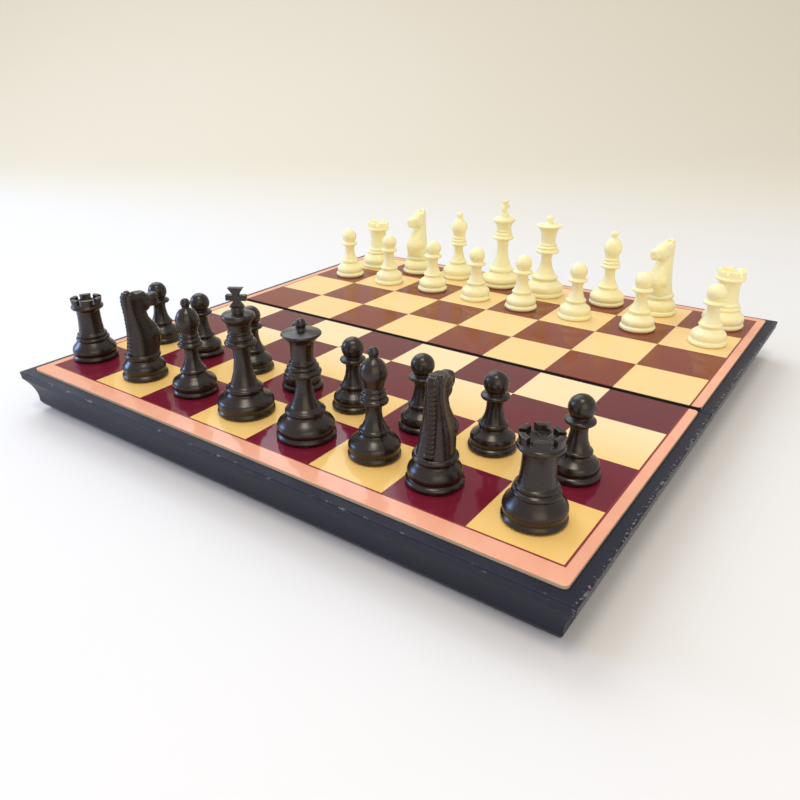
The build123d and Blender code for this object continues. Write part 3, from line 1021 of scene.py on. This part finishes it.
disc = shade(make_disc())
for army in ARMIES:
    stock = {kind: maker(plastics[army]) for kind, maker in makers.items()}
    for number, (role, kind) in enumerate(OFFICERS + PAWNS):
        node = f"{army}_{role}"
        place = standing_place(node, kind)
        usual_heading = bishop_heading if kind == "bishop" else turn_between_men * number
        heading = headings.get(node, usual_heading)
        man = set_piece(stock[kind], f"{node}_moulding", place, heading)
        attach(man, f"{node}_man")
        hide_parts(node)
        if kind == "pawn":
            magnet = set_piece(disc, f"{node}_disc", place, 0)
            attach(magnet, f"{node}_man")
            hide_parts(node)
    print(army, {kind: len(mesh.polygons) for kind, mesh in stock.items()})

# %% [markdown]
# ## Floor, light and camera
#
# The set stands on a pale sweep, a floor that curves up into a wall far behind it, so no horizon shows. Its
# back is clear, so a view from below isn't blocked. A big cool window, high on the left and behind the set,
# throws soft shadows to the right and forwards. A small blue lamp on the near left gives the black plastic
# its bluish sheen, a warm one on the near right lights the other side, and a small warm lamp overhead puts
# glints on the men. Even light from the room fills the rest.


# %% Make the sweep
def make_sweep():
    material, tree, shader, _, axes = start_material("paper_sweep")
    # Painted light: the paper is tinted cool near the set, and warmer and darker far off and to the left.
    near_paper_cool_light, far_paper_warm_light = (0.83, 0.84, 0.87, 1), (0.82, 0.77, 0.66, 1)
    drift = -0.45
    away = sums(tree, "MULTIPLY_ADD", axes["X"], drift, axes["Y"])
    far_off = rise(tree, away, 0.1, 0.8)
    paper = tint(tree, far_off, near_paper_cool_light, far_paper_warm_light)
    tree.links.new(paper, shader.inputs["Base Color"])
    shader.inputs["Roughness"].default_value = 0.55
    geometry = tree.nodes.new("ShaderNodeNewGeometry")
    clear = tree.nodes.new("ShaderNodeBsdfTransparent")
    output = tree.nodes["Material Output"]
    inputs = {0: geometry.outputs["Backfacing"], 1: shader.outputs[0], 2: clear.outputs[0]}
    tree.links.new(add(tree, "ShaderNodeMixShader", inputs).outputs[0], output.inputs[0])

    front, bend_start, bend_radius, wall_top, half_width = -3.0, 0.75, 0.5, 0.7, 3.5
    bend_steps = 12
    sweep_heading = math.radians(37)
    profile = [(front, 0.0), (bend_start, 0.0)]
    for step in range(1, bend_steps + 1):
        angle = math.pi / 2 * step / bend_steps
        profile.append((bend_start + bend_radius * math.sin(angle), bend_radius * (1 - math.cos(angle))))
    profile.append((bend_start + bend_radius, wall_top))
    mesh = bpy.data.meshes.new("sweep")
    vertices = [(x, y, z) for y, z in profile for x in (-half_width, half_width)]
    faces = [(2 * i, 2 * i + 1, 2 * i + 3, 2 * i + 2) for i in range(len(profile) - 1)]
    mesh.from_pydata(vertices, [], faces)
    mesh.polygons.foreach_set("use_smooth", [True] * len(faces))
    mesh.transform(Matrix.Rotation(sweep_heading, 4, "Z"))
    mesh.materials.append(material)
    sweep = bpy.data.objects.new("sweep", mesh)
    bpy.context.scene.collection.objects.link(sweep)


make_sweep()


# %% Lights and camera
def soft_light(name, place, size, power, colour):
    """A square lamp of that size in metres and power in watts, aimed at the middle of the board."""
    light = bpy.data.lights.new(name, "AREA")
    light.size, light.energy, light.color = size, power, colour
    lamp = bpy.data.objects.new(name, light)
    lamp.location = place
    lamp.rotation_euler = (-Vector(place)).to_track_quat("-Z", "Y").to_euler()
    bpy.context.scene.collection.objects.link(lamp)


soft_light("window", (-1.20, 0.65, 1.50), 1.6, 17.0, (0.82, 0.92, 1.0))
soft_light("cool_fill", (-0.90, -0.40, 0.30), 0.3, 3.6, (0.30, 0.52, 1.0))
soft_light("warm_fill", (0.90, -0.90, 0.60), 0.9, 4.0, (1.0, 0.78, 0.50))
soft_light("ceiling", (0.15, -0.35, 1.25), 0.35, 4.2, (1.0, 0.88, 0.72))
world = bpy.data.worlds.new("room")
world.use_nodes = True
room_light = world.node_tree.nodes["Background"].inputs
room_light["Color"].default_value = (0.97, 0.93, 0.88, 1)
room_light["Strength"].default_value = 0.64
bpy.context.scene.world = world
bpy.context.scene.view_settings.view_transform = "Standard"

camera_place = Vector((162.8, -256.5, 134.0)) * mm
camera_aim = Vector((-7.7, -31.8, 0.0)) * mm
camera_roll = math.radians(-0.8)
camera_data = bpy.data.cameras.new("camera")
camera_data.lens = 32.19
camera_data.shift_x = 0.038
camera_data.clip_start = 0.01
camera = bpy.data.objects.new("camera", camera_data)
look = (camera_aim - camera_place).to_track_quat("-Z", "Y").to_matrix().to_4x4()
camera.matrix_world = Matrix.Translation(camera_place) @ look @ Matrix.Rotation(camera_roll, 4, "Z")
bpy.context.scene.collection.objects.link(camera)
bpy.context.scene.camera = camera
print("camera at", [round(x / mm, 1) for x in camera_place], "mm")
